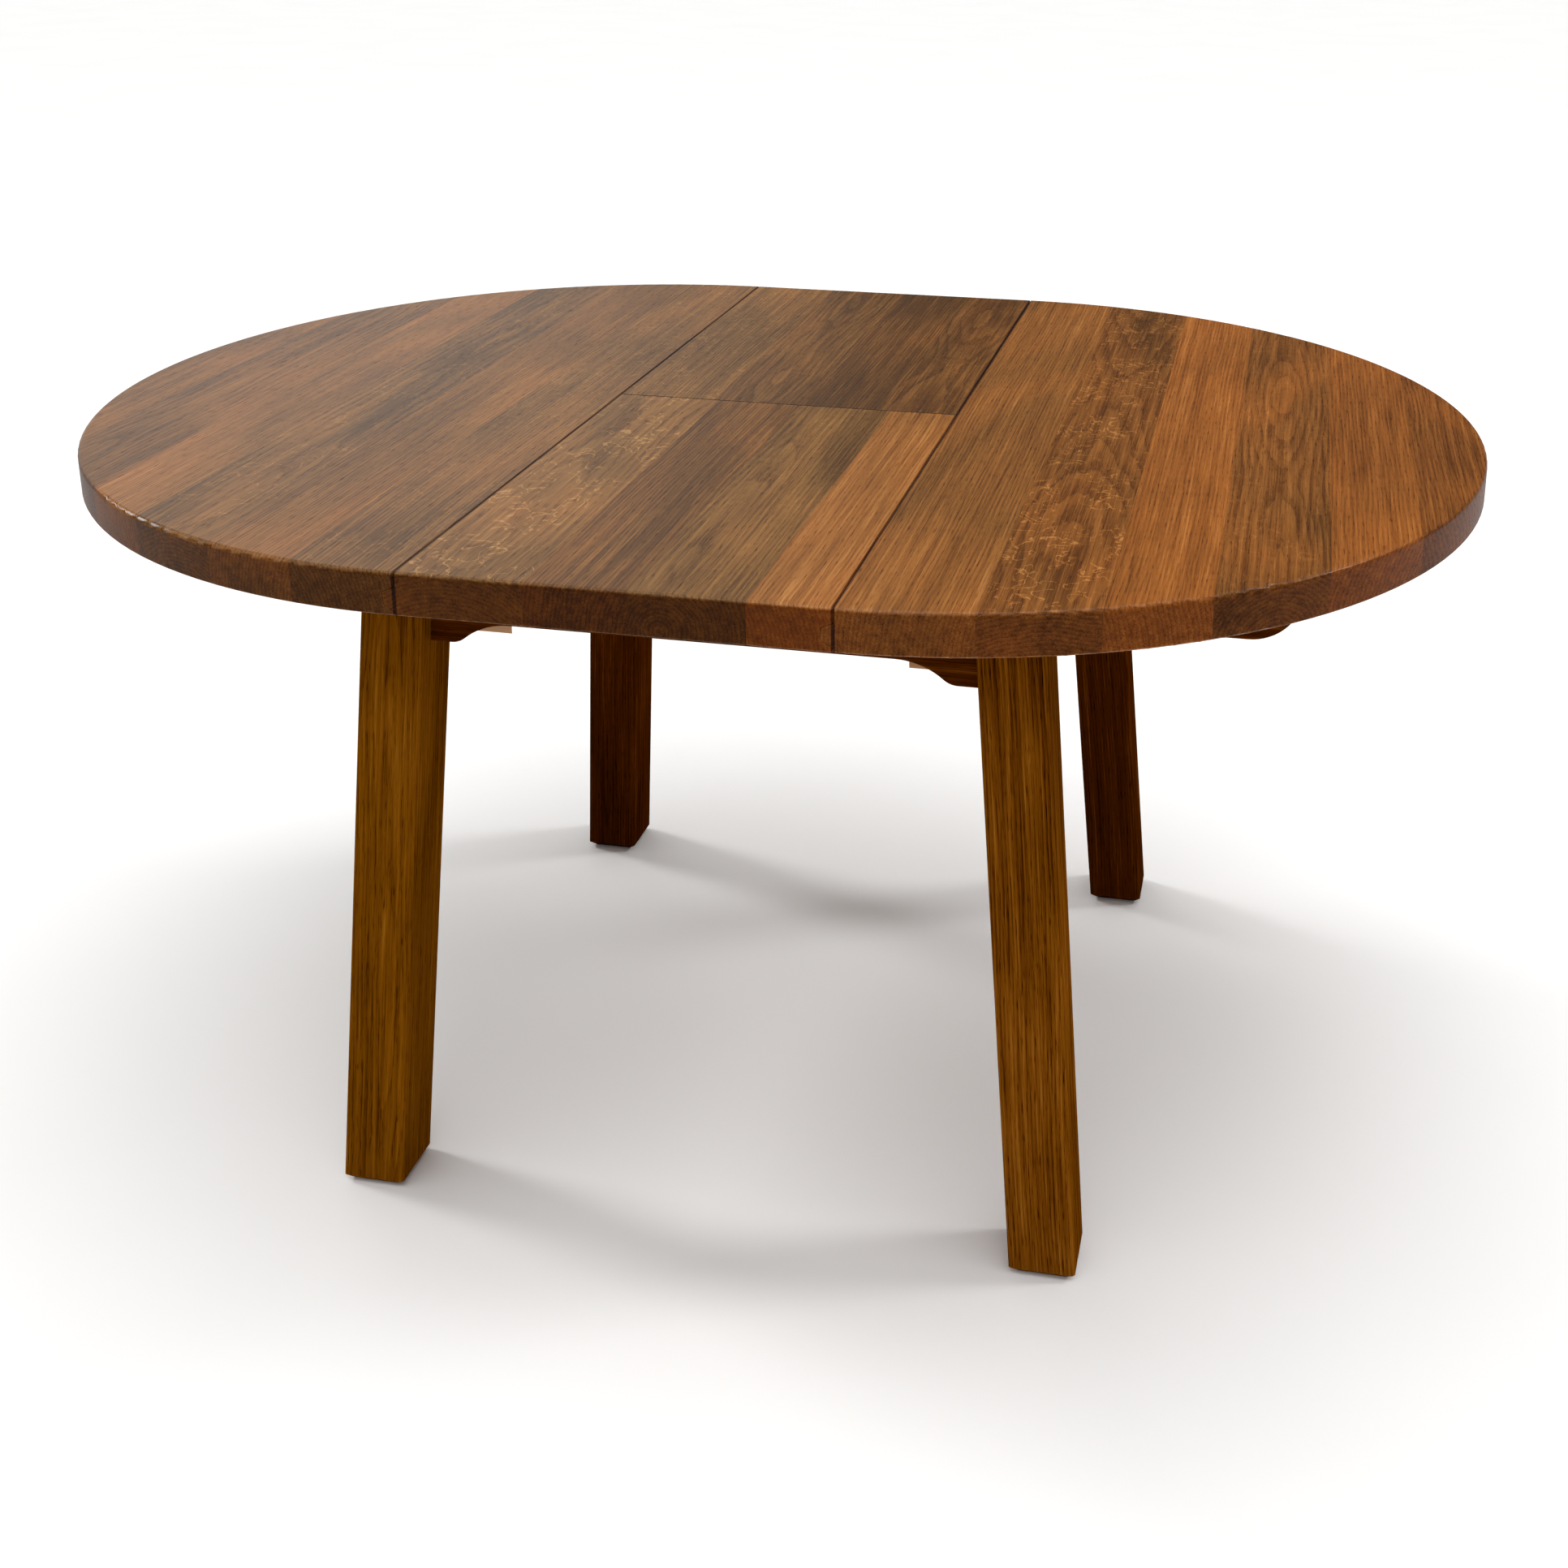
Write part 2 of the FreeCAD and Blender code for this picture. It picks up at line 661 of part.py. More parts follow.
def build_leg(name, side, end):
    """A square leg that leans inwards both ways, with its mortises and its bolt hole."""
    body = new_body(name)
    chamfer = S["foot_chamfer"]
    sole = leg_outline(body, name + "_sole", side, end, 0, chamfer)
    ankle = leg_outline(body, name + "_ankle", side, end, chamfer, 0)
    foot = body.newObject("PartDesign::AdditiveLoft", name + "_foot")
    foot.Profile = sole
    foot.Sections = [ankle]
    foot.Ruled = True
    bar = extrude(body, "Pad", name + "_bar", ankle, FRAME_TOP - chamfer, both_ways=False)
    bar.UseCustomVector = True
    bar.AlongSketchNormal = True
    bind(bar, "Direction.x", -side * S["leg_splay_x"])
    bind(bar, "Direction.y", -end * S["leg_splay_y"])
    bind(bar, "Direction.z", 1)
    DOC.recompute()
    side_mortise = mortise_box(name + "_side_mortise", (side, end), "side")
    end_mortise = mortise_box(name + "_end_mortise", (side, end), "end")
    bolt = bolt_rod(name + "_bolt_hole", (side, end), 0, S["leg_bolt_grip"])
    export(cut_from(name + "_mortised", body, [side_mortise, end_mortise, bolt]), name)


def tenon_heights(depth):
    low = RAIL_BOTTOM + S["tenon_rise"]
    return low, low + depth


def ordered(low, high):
    """A pair of bounds in rising order."""
    if as_size(low).number > as_size(high).number:
        return high, low
    return low, high


def mortise_box(name, corner, which):
    """The mortise that takes a side or end rail's tenon."""
    side, end = corner
    half = S["tenon_thickness"] / 2
    if which == "side":
        middle = end * (RAIL_OUTER_Y - S["rail_thickness"] / 2)
        reach = leg_inner(*LEG_X, FRAME_TOP) + S["tenon_length"]
        xs = ordered(side * (reach - S["leg_section"]), side * reach)
        ys = (middle - half, middle + half)
        zs = tenon_heights(S["side_tenon_depth"])
    else:
        middle = side * (RAIL_OUTER_X - S["rail_thickness"] / 2)
        reach = leg_inner(*LEG_Y, FRAME_TOP) + S["tenon_length"]
        xs = (middle - half, middle + half)
        ys = ordered(end * (reach - S["leg_section"]), end * reach)
        zs = tenon_heights(S["end_tenon_depth"])
    return make_box(name, xs, ys, zs)


def rail_corners(leg):
    """A rail's side outline: sloped ends against the legs, ogees in the lower edge."""
    corners = []
    low = RAIL_BOTTOM
    high = FRAME_TOP - S["rail_middle_depth"]
    flat_end = leg_inner(*leg, low) - S["rail_flat"]
    ogee_end = flat_end - S["ogee_length"]
    share = S["ogee_nose_share"]
    right_half = [
        (ogee_end, high),
        (flat_end - S["ogee_length"] * share, low + (high - low) * share),
        (flat_end, low),
        (leg_inner(*leg, low), low),
        (leg_inner(*leg, FRAME_TOP), FRAME_TOP),
    ]
    for across, up in right_half:
        corners.append((across, up))
    for across, up in reversed(right_half):
        corners.append((-across, up))
    return corners


RAIL_ARCS = {0: "start", 1: "end", 7: "start", 8: "end"}


def build_rail_body(name, role, offset, leg, tenon_depth):
    """A rail's board with a tenon at each end. role is the origin plane that it lies along."""
    body = new_body(name)
    sketch = new_sketch(body, name + "_side", role, offset)
    draw_outline(sketch, rail_corners(leg), RAIL_ARCS)
    extrude(body, "Pad", name + "_board", sketch, S["rail_thickness"])
    root = leg_inner(*leg, RAIL_BOTTOM) - S["rail_flat"]
    reach = leg_inner(*leg, FRAME_TOP) + S["tenon_length"]
    low, high = tenon_heights(tenon_depth)
    for side in (-1, 1):
        label = "%s_tenon_%d" % (name, side + 1)
        tenon = new_sketch(body, label + "_side", role, offset)
        inner, outer = ordered(side * root, side * reach)
        draw_outline(tenon, [(inner, low), (outer, low), (outer, high), (inner, high)])
        extrude(body, "Pad", label, tenon, S["tenon_thickness"])
    return body


def build_side_rail(name, end):
    """A long rail, drilled for the dowels of the bearer and the battens."""
    middle = RAIL_OUTER_Y - S["rail_thickness"] / 2
    body = build_rail_body(name, "XZ_Plane", -end * middle, LEG_X, S["side_tenon_depth"])
    tools = []
    for index, (x, z) in enumerate(dowel_places()):
        tools.append(make_rod("%s_dowel_hole_%d" % (name, index), S["dowel_radius"],
                              S["dowel_in_rail"] + OVERRUN,
                              (x, end * (RAIL_INNER_Y - OVERRUN), z), (0, end, 0)))
    export(cut_from(name + "_drilled", body, tools), name)


def runner_notch(name, side_of_runner, end, xs, top):
    """An open-topped notch for one runner."""
    inner = RUNNERS[side_of_runner] - S["runner_side_gap"]
    outer = RUNNERS[side_of_runner] + S["runner_width"] + S["runner_side_gap"]
    return make_box(name, xs, ordered(end * inner, end * outer),
                    (RUNNER_BOTTOM - S["top_gap"], top + OVERRUN))


def build_end_rail(name, side):
    """An end rail, notched for the two runners of the half on its own side."""
    middle = RAIL_OUTER_X - S["rail_thickness"] / 2
    body = build_rail_body(name, "YZ_Plane", side * middle, LEG_Y, S["end_tenon_depth"])
    xs = ordered(side * (RAIL_INNER_X - OVERRUN), side * (RAIL_OUTER_X + OVERRUN))
    tools = []
    for end in (-1, 1):
        label = "%s_notch_%d" % (name, end + 1)
        if side < 0:
            tools.append(runner_notch(label, "left", end, xs, FRAME_TOP))
            continue
        # The outer runner passes between this rail's end and the leg, so the notch is open there.
        inner = OUTER_RUNNER - S["runner_side_gap"]
        outer = leg_inner(*LEG_Y, RAIL_BOTTOM) + OVERRUN
        tools.append(make_box(label, xs, ordered(end * inner, end * outer),
                              (RUNNER_BOTTOM - S["top_gap"], FRAME_TOP + OVERRUN)))
    export(cut_from(name + "_notched", body, tools), name)


# --- Bearer, shelf battens and their dowels ---------------------------------------------------


def dowel_places():
    """The (x, z) of the dowels in one long rail."""
    places = []
    half_pitch = S["dowel_pitch"] / 2
    cheek_middle = (RUNNER_BOTTOM + FRAME_TOP) / 2
    for step in (-1, 1):
        places.append((as_size(0), cheek_middle + step * half_pitch))
    for side in (-1, 1):
        for step in (-1, 1):
            across = side * S["batten_offset"] + step * S["batten_dowel_pitch"] / 2
            places.append((across, SHELF_BOTTOM + S["shelf_thickness"] / 2))
    return places


def bearer_dowel_holes(name, only):
    """Holes for the dowels whose places pass the test."""
    holes = []
    for index, (x, z) in enumerate(dowel_places()):
        if not only(x.number):
            continue
        for end in (-1, 1):
            holes.append(make_rod("%s_hole_%d_%d" % (name, index, end + 1), S["dowel_radius"],
                                  S["dowel_in_bearer"] + OVERRUN,
                                  (x, end * (RAIL_INNER_Y + OVERRUN), z), (0, -end, 0)))
    return holes


def build_centre_bearer():
    """The cross bearer at mid-length: notched cheeks at its ends, low in the middle."""
    half = S["bearer_width"] / 2
    cheek = INNER_RUNNER - S["runner_side_gap"]
    board = make_box("bearer_board", (-half, half), (-RAIL_INNER_Y, RAIL_INNER_Y),
                     (SHELF_BOTTOM, FRAME_TOP))
    well = make_box("bearer_well", (-half - OVERRUN, half + OVERRUN), (-cheek, cheek),
                    (SHELF_TOP, FRAME_TOP + OVERRUN))
    tools = [well]
    for end in (-1, 1):
        for runner in RUNNERS:
            tools.append(runner_notch("bearer_notch_%s_%d" % (runner, end + 1), runner, end,
                                      (-half - OVERRUN, half + OVERRUN), FRAME_TOP))
    tools += bearer_dowel_holes("centre_bearer", lambda x: abs(x) < half.number)
    export(cut_from("bearer_notched", board, tools), "centre_bearer")


def build_shelf_batten(name, side):
    half = S["bearer_width"] / 2
    middle = side * S["batten_offset"]
    board = make_box(name + "_board", (middle - half, middle + half),
                     (-RAIL_INNER_Y, RAIL_INNER_Y), (SHELF_BOTTOM, SHELF_TOP))
    tools = bearer_dowel_holes(name, lambda x: abs(x - middle.number) < half.number)
    export(cut_from(name + "_drilled", board, tools), name)


def build_bearer_dowels():
    dowels = []
    length = S["dowel_in_rail"] + S["dowel_in_bearer"]
    for index, (x, z) in enumerate(dowel_places()):
        for end in (-1, 1):
            start = end * (RAIL_INNER_Y - S["dowel_in_bearer"])
            dowels.append(make_rod("bearer_dowel_%d_%d" % (index, end + 1), S["dowel_radius"],
                                   length, (x, start, z), (0, end, 0)))
    export(make_group("bearer_dowels_group", dowels), "bearer_dowels")


# --- Corner blocks and leg bolts --------------------------------------------------------------

BLOCK_TOP = RUNNER_BOTTOM - S["block_drop"]
BOLT_Z = BLOCK_TOP - S["block_height"] / 2
DIAGONAL = math.sqrt(0.5)


def bolt_rod(name, corner, play, length):
    """A cylinder along the corner's diagonal, from the leg's core back to its given length."""
    side, end = corner
    core = DIAGONAL * S["leg_bolt_grip"]
    x = leg_inner(*LEG_X, BOLT_Z) + core
    y = leg_inner(*LEG_Y, BOLT_Z) + core
    return make_rod(name, S["leg_bolt_radius"] + play, length, (side * x, end * y, BOLT_Z),
                    (-side, -end, 0))


def diagonal_depth(corner_offset):
    """Distance from the rails' inner corner, along the diagonal, to a face that crosses it."""
    return DIAGONAL * corner_offset


def bolt_length():
    """From the leg's core to past the corner block."""
    corner_gap_x = leg_inner(*LEG_X, BOLT_Z) - RAIL_INNER_X
    corner_gap_y = leg_inner(*LEG_Y, BOLT_Z) - RAIL_INNER_Y
    leg_corner = DIAGONAL * (corner_gap_x + corner_gap_y)
    return S["leg_bolt_grip"] + leg_corner + diagonal_depth(S["block_reach"]) + S["leg_bolt_tail"]


def build_corner_block(name, side, end):
    """A diagonal brace between two rails, drilled for the leg bolt."""
    body = new_body(name)
    near = S["block_reach"] - S["block_width"] / DIAGONAL
    sketch = new_sketch(body, name + "_plan", "XY_Plane", BLOCK_TOP - S["block_height"])
    corners = [
        (side * (RAIL_INNER_X - S["block_reach"]), end * RAIL_INNER_Y),
        (side * (RAIL_INNER_X - near), end * RAIL_INNER_Y),
        (side * RAIL_INNER_X, end * (RAIL_INNER_Y - near)),
        (side * RAIL_INNER_X, end * (RAIL_INNER_Y - S["block_reach"])),
    ]
    draw_outline(sketch, corners)
    extrude(body, "Pad", name + "_bar", sketch, S["block_height"], both_ways=False)
    bolt = bolt_rod(name + "_bolt_hole", (side, end), S["bolt_play"], bolt_length() + OVERRUN)
    export(cut_from(name + "_drilled", body, [bolt]), name)


def build_leg_fasteners():
    """The bolt of each leg and the nut that draws it against its corner block."""
    bolts = []
    nuts = []
    for name, side, end in CORNERS:
        bolts.append(bolt_rod("leg_bolt_" + name, (side, end), 0, bolt_length()))
        nuts.append(build_nut("leg_nut_" + name, side, end))
    export(make_group("leg_bolts_group", bolts), "leg_bolts")
    export(make_group("leg_nuts_group", nuts), "leg_nuts")


def build_nut(name, side, end):
    """A hexagon nut on the inner face of a corner block."""
    prism = DOC.addObject("Part::Prism", name + "_prism")
    prism.Polygon = 6
    bind(prism, "Circumradius", S["nut_flats"] / math.sqrt(3))
    bind(prism, "Height", S["nut_height"])
    up = FreeCAD.Vector(0, 0, 1)
    prism.Placement.Rotation = FreeCAD.Rotation(up, FreeCAD.Vector(-side, -end, 0))
    # The bolt's axis meets the block's inner face half-way between the rails, plus the legs' shift.
    shift = (leg_inner(*LEG_X, BOLT_Z) - RAIL_INNER_X - leg_inner(*LEG_Y, BOLT_Z) + RAIL_INNER_Y) / 2
    x = RAIL_INNER_X - S["block_reach"] / 2 + shift
    y = RAIL_INNER_Y - S["block_reach"] / 2 - shift
    place(prism, side * x, end * y, BOLT_Z)
    bore = bolt_rod(name + "_bore", (side, end), 0, bolt_length() + OVERRUN)
    return cut_from(name, prism, [bore])


# --- Assembly ---------------------------------------------------------------------------------


def build_table():
    build_half("top_left_half", -1)
    build_half("top_right_half", 1)
    build_leaf_panel("leaf_front_panel", -1)
    build_leaf_panel("leaf_rear_panel", 1)
    build_hinge_barrels("hinge_barrels_front", -1, S["link_in_front"] + S["link_gap"])
    build_hinge_barrels("hinge_barrels_rear", 1, S["link_in_rear"] + S["link_gap"])
    build_hinge_links()
    for name, side, end in CORNERS:
        build_leg("leg_" + name, side, end)
        build_corner_block("corner_block_" + name, side, end)
    build_side_rail("rail_front", -1)
    build_side_rail("rail_rear", 1)
    for name, side in (("left", -1), ("right", 1)):
        build_end_rail("rail_" + name, side)
        build_shelf_batten("shelf_batten_" + name, side)
        build_runner("runner_%s_front" % name, side, -1)
        build_runner("runner_%s_rear" % name, side, 1)
        build_runner_screws("runner_screws_" + name, side)
        build_stop_pegs("stop_pegs_" + name, side)
    build_centre_bearer()
    build_bearer_dowels()
    build_leg_fasteners()


def check_document():
    """Stop on any failed object, and on any sub-part that is not a sound solid."""
    for thing in DOC.Objects:
        if "Invalid" in thing.State or "Error" in thing.State:
            raise RuntimeError("failed: %s (%s)" % (thing.Name, thing.State))
    for thing in EXPORTS:
        if thing.Shape.isNull() or not thing.Shape.isValid() or not thing.Shape.Solids:
            raise RuntimeError("unsound shape: %s" % thing.Label)


def write_parts():
    os.makedirs("parts", exist_ok=True)
    for thing in EXPORTS:
        thing.Shape.exportStep(os.path.join("parts", thing.Label + ".step"))


build_table()
DOC.recompute()
check_document()
write_parts()
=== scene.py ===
import math

import bpy
from mathutils import Matrix, Vector

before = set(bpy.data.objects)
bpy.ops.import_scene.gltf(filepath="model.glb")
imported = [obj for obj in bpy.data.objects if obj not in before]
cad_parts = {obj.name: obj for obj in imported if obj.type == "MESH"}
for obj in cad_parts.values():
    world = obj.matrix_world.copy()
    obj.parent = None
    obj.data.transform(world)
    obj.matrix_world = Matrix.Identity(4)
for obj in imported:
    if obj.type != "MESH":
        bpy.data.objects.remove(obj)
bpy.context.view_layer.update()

# Extending round dining table in stained oak. Lengths are in metres. Every visible piece is a
# CAD node, and this script gives each one its own procedural wood or metal.

TOP_RADIUS = 0.55
HALF_LEAF = 0.189
TOP_HEIGHT = 0.76
# How far a leg's foot stands out from its top for each metre of height.
LEG_LEAN_X = 0.077
LEG_LEAN_Y = 0.073


def linear(red, green, blue):
    """An sRGB colour, 0 to 255 a channel, as Blender's linear colour."""
    channels = [(c / 255) ** 2.2 for c in (red, green, blue)]
    return (*channels, 1.0)


# ---------------------------------------------------------------- node graphs


class Graph:
    """A node tree and short ways to add nodes to it."""

    def __init__(self, tree):
        self.tree = tree

    def feed(self, socket, value):
        if isinstance(value, bpy.types.NodeSocket):
            self.tree.links.new(value, socket)
        else:
            socket.default_value = value

    def node(self, kind, *values, **settings):
        node = self.tree.nodes.new("ShaderNode" + kind)
        for key, value in settings.items():
            setattr(node, key, value)
        for socket, value in zip(node.inputs, values):
            self.feed(socket, value)
        return node

    def math(self, operation, *values):
        return self.node("Math", *values, operation=operation).outputs[0]

    def split(self, vector):
        return self.node("SeparateXYZ", vector).outputs[:]

    def vector(self, x, y, z):
        return self.node("CombineXYZ", x, y, z).outputs[0]

    def stretch(self, vector, *factors):
        return self.node("VectorMath", vector, factors, operation="MULTIPLY").outputs[0]

    def noise_node(self, vector, detail, roughness=0.5, distortion=0.0):
        """A noise texture, with its value and its colour as outputs."""
        node = self.node("TexNoise", vector)
        node.inputs["Scale"].default_value = 1.0
        node.inputs["Detail"].default_value = detail
        node.inputs["Roughness"].default_value = roughness
        node.inputs["Distortion"].default_value = distortion
        return node

    def noise(self, vector, detail, *shape):
        return self.noise_node(vector, detail, *shape).outputs[0]

    def fade(self, value, low, high, out_low=0.0, out_high=1.0):
        """A smooth step of the value from low to high."""
        node = self.node("MapRange", value, low, high, out_low, out_high)
        node.interpolation_type = "SMOOTHSTEP"
        return node.outputs[0]

    def centred(self, value):
        """A value from 0 to 1, moved to lie about 0."""
        return self.math("SUBTRACT", value, 0.5)

    def scale(self, value, low, high, out_low, out_high):
        return self.node("MapRange", value, low, high, out_low, out_high).outputs[0]

    def ramp(self, value, stops, interpolation="LINEAR"):
        node = self.node("ValToRGB", value)
        ramp = node.color_ramp
        ramp.interpolation = interpolation
        while len(ramp.elements) < len(stops):
            ramp.elements.new(1.0)
        for element, (place, colour) in zip(ramp.elements, stops):
            element.position = place
            element.color = colour if len(colour) == 4 else (*colour, 1.0)
        return node.outputs[0]

    def blend(self, amount, first, second, mode="MIX"):
        node = self.node("Mix", data_type="RGBA", blend_type=mode)
        self.feed(node.inputs[0], amount)
        self.feed(node.inputs[6], first)
        self.feed(node.inputs[7], second)
        return node.outputs[2]


class Surface(Graph):
    """One material's graph and its shader."""

    def __init__(self, name):
        self.material = bpy.data.materials.new(name)
        self.material.use_nodes = True
        super().__init__(self.material.node_tree)
        self.shader = self.tree.nodes["Principled BSDF"]

    def set(self, name, value):
        """Feed one of the shader's sockets."""
        self.feed(self.shader.inputs[name], value)

    def bump(self, height, strength, distance):
        """Raise the surface by a height, in a relief of the given strength and depth."""
        node = self.node("Bump")
        node.inputs["Strength"].default_value = strength
        node.inputs["Distance"].default_value = distance
        self.feed(node.inputs["Height"], height)
        self.set("Normal", node.outputs[0])


# ---------------------------------------------------------------- wood

# Stain colours from the darkest to the lightest wood: an olive board and a warm one.
OLIVE = [
    (0.0, linear(34, 20, 5)),
    (0.3, linear(78, 52, 23)),
    (0.55, linear(120, 86, 46)),
    (1.0, linear(180, 142, 92)),
]
WARM = [
    (0.0, linear(36, 14, 2)),
    (0.3, linear(86, 46, 13)),
    (0.55, linear(136, 80, 34)),
    (1.0, linear(202, 138, 74)),
]
# The legs' stain is yellower and deeper.
GOLDEN = [
    (0.0, linear(26, 12, 1)),
    (0.3, linear(72, 40, 5)),
    (0.55, linear(124, 75, 13)),
    (1.0, linear(184, 128, 46)),
]
BROWN = [
    (0.0, linear(26, 9, 1)),
    (0.3, linear(74, 36, 7)),
    (0.55, linear(124, 72, 20)),
    (1.0, linear(184, 120, 52)),
]
# End grain and edges drink more stain, which multiplies their colour by this.
END_STAIN = (0.5, 0.33, 0.14, 1.0)
# How much darker than its board's own tone the stained wood is.
STAIN_DEPTH = 0.035
# One growth ring from its porous early wood to its dense late wood.
RING = [
    (0.0, (0.0, 0.0, 0.0)),
    (0.22, (0.35, 0.35, 0.35)),
    (0.6, (0.9, 0.9, 0.9)),
    (0.93, (1.0, 1.0, 1.0)),
    (1.0, (0.0, 0.0, 0.0)),
]
RING_WIDTH = 0.0038
# The pith's place is coded over three spans of the boards, so it can lie outside its own board.
PITH_SPANS = 3.0
PITH_DEPTH = 0.25
# Each board has its own seed, a stride after its neighbour's.
SEED_START = 0.13
SEED_STRIDE = 0.37
# Each part of the pattern is moved through its noise by the seed times a step of its own.
GRAIN_STEP = 17.0
WOBBLE_STEP = 31.0
STRAY_STEP = 40.0
# How far the pith strays along the tree, sideways and in depth, and how far its rings wobble.
PITH_STRAY = 0.035
PITH_LIFT = 0.05
RING_WOBBLE = 0.006

# How often each layer of the pattern changes in a metre, across the grain and along it.
FIBRE_PACE = (620.0, 11.0)
STREAK_PACE = (150.0, 2.2)
PORE_PACE = (1300.0, 55.0)
BLOTCH_PACE = (9.0, 3.0)
STRAY_PACE = 1.6
WOBBLE_PACE = (60.0, 7.0)
FLECK_PACE = (48.0, 40.0)
FLECK_PATCH_PACE = (22.0, 13.0)
FLECK_BREAK_PACE = (160.0, 120.0)
# How much each layer lightens or darkens the wood.
RING_WEIGHT = 0.09
FIBRE_WEIGHT = 0.5
STREAK_WEIGHT = 0.42
BLOTCH_WEIGHT = 0.4
PORE_WEIGHT = -0.2
FLECK_WEIGHT = 0.25
WEAR_AND_HIGHLIGHT_WEIGHT = 0.14
SEAM_SHADE_WEIGHT = 0.42
# A fleck is a ridge of its noise this wide; worn edges, with their painted highlight, lie this
# near to an edge.
FLECK_WIDTH = 0.03
WEAR_AND_HIGHLIGHT_REACH = 0.004
# Where each noise starts to count and where it counts in full.
PORE_RANGE = (0.55, 0.7)
FLECK_PATCH_RANGE = (0.38, 0.5)
FLECK_BREAK_RANGE = (0.37, 0.48)
WEAR_AND_HIGHLIGHT_PATCH_RANGE = (0.35, 0.65)
# The same for a face's upward share, its share towards a seam, and how sharply it is bent.
FLAT_RANGE = (0.25, 0.85)
HIDDEN_RANGE = (0.6, 0.9)
BENT_RANGE = (0.8, 0.995)
# Painted shade in a seam is full up to the first distance from the seam and gone at the second.
SEAM_SHADE_REACH = (0.0009, 0.0024)
# The leaf's own joint is tighter than its seams, so its painted shade is narrower by this.
JOINT_TIGHTNESS = 1.5
# Painted shadow of the table's top: a front leg is darkened between these heights.
PAINTED_SHADOW_START = 0.48
PAINTED_SHADOW_FULL = 0.7
# Relief of the wood: its strength, its depth, and how pores and rings add to the fibres.
WOOD_RELIEF = (0.35, 0.0004)
PORE_RELIEF = -0.7
RING_RELIEF = 0.35
VARNISH = 0.22
VARNISH_ROUGHNESS = 0.16


class Board:
    """One board: its width, how light and how warm it is, its figure and where its pith lies."""

    def __init__(self, width, tone, warmth, figure, pith, depth):
        self.width = width
        self.tone = tone
        self.warmth = warmth
        self.figure = figure
        self.pith = pith
        self.depth = depth


def board_ramps(graph, across, start, boards):
    """Two constant ramps over the boards: (tone, warmth, figure) and (pith, depth, seed)."""
    span = sum(board.width for board in boards)
    place = graph.scale(across, start, start + span, 0.0, 1.0)
    looks = []
    piths = []
    edge = 0.0
    for number, board in enumerate(boards):
        middle = edge + board.pith * board.width
        coded = (middle / span + 1.0) / PITH_SPANS
        seed = (number * SEED_STRIDE + SEED_START) % 1.0
        looks.append((edge / span, (board.tone, board.warmth, board.figure)))
        piths.append((edge / span, (coded, board.depth / PITH_DEPTH, seed)))
        edge += board.width
    look = graph.split(graph.ramp(place, looks, "CONSTANT"))
    pith, depth, seed = graph.split(graph.ramp(place, piths, "CONSTANT"))
    pith = graph.scale(pith, 0.0, 1.0, start - span, start + 2 * span)
    depth = graph.math("MULTIPLY", depth, PITH_DEPTH)
    return look, pith, depth, seed


def grain_axes(graph, along, lean):
    """The point as (across, along, depth) of the grain, for grain along X, Y or a leg's Z."""
    point = graph.node("TexCoord").outputs["Object"]
    x, y, z = graph.split(point)
    if along == "Y":
        return x, y, z
    if along == "X":
        return y, x, z
    across = graph.math("MULTIPLY_ADD", z, lean[0], x)
    depth = graph.math("MULTIPLY_ADD", z, lean[1], y)
    return across, z, depth


def ring_tone(graph, axes, pith, pith_depth, seed, surface):
    """Light and dark of the growth rings round a pith that wanders along the tree."""
    across, along, depth = axes
    walk = graph.math("MULTIPLY", along, STRAY_PACE)
    start = graph.math("MULTIPLY", seed, STRAY_STEP)
    stray = graph.noise_node(graph.vector(walk, start, 0.0), 1.5).outputs[1]
    side, lift, _ = graph.split(stray)
    pith = graph.math("MULTIPLY_ADD", graph.centred(side), PITH_STRAY, pith)
    lift = graph.math("MULTIPLY_ADD", graph.centred(lift), PITH_LIFT, pith_depth)
    dx = graph.math("SUBTRACT", across, pith)
    dz = graph.math("ADD", graph.math("SUBTRACT", depth, surface), lift)
    squared = graph.math("ADD", graph.math("MULTIPLY", dx, dx), graph.math("MULTIPLY", dz, dz))
    radius = graph.math("SQRT", squared)
    pace_across, pace_along = WOBBLE_PACE
    wobble = graph.noise(graph.vector(
        graph.math("MULTIPLY_ADD", across, pace_across, graph.math("MULTIPLY", seed, WOBBLE_STEP)),
        graph.math("MULTIPLY", along, pace_along),
        graph.math("MULTIPLY", depth, pace_across),
    ), 3.0)
    radius = graph.math("MULTIPLY_ADD", wobble, RING_WOBBLE, radius)
    turns = graph.math("ADD", graph.math("DIVIDE", radius, RING_WIDTH), seed)
    return graph.split(graph.ramp(graph.math("FRACT", turns), RING))[0]


def layer(graph, place, pace, *shape):
    """Noise that changes at one pace across the grain and at another along it."""
    across, along = pace
    return graph.noise(graph.stretch(place, across, along, across), *shape)


class Grain:
    """One wood's pattern: rings, fibres, streaks, blotches and pores."""

    def __init__(self, graph, axes, rings, seed):
        across, length, depth = axes
        shifted = graph.math("ADD", length, graph.math("MULTIPLY", seed, GRAIN_STEP))
        self.place = graph.vector(across, shifted, depth)
        self.rings = rings
        self.fibre = layer(graph, self.place, FIBRE_PACE, 4.0, 0.6)
        self.streak = layer(graph, self.place, STREAK_PACE, 3.0, 0.55)
        self.blotch = layer(graph, self.place, BLOTCH_PACE, 3.0, 0.5, 0.6)
        # Pores crowd in the early wood, where a ring is dark.
        early = graph.math("SUBTRACT", 1.0, rings)
        crowding = graph.fade(early, 0.1, 0.9, 0.35, 1.0)
        pore = graph.fade(layer(graph, self.place, PORE_PACE, 1.0), *PORE_RANGE)
        self.pores = graph.math("MULTIPLY", pore, crowding)


def flatness(graph):
    """1 on faces that lie flat and 0 on upright ones."""
    normal = graph.node("TexCoord").outputs["Normal"]
    upright = graph.math("ABSOLUTE", graph.split(normal)[2])
    return graph.fade(upright, *FLAT_RANGE)


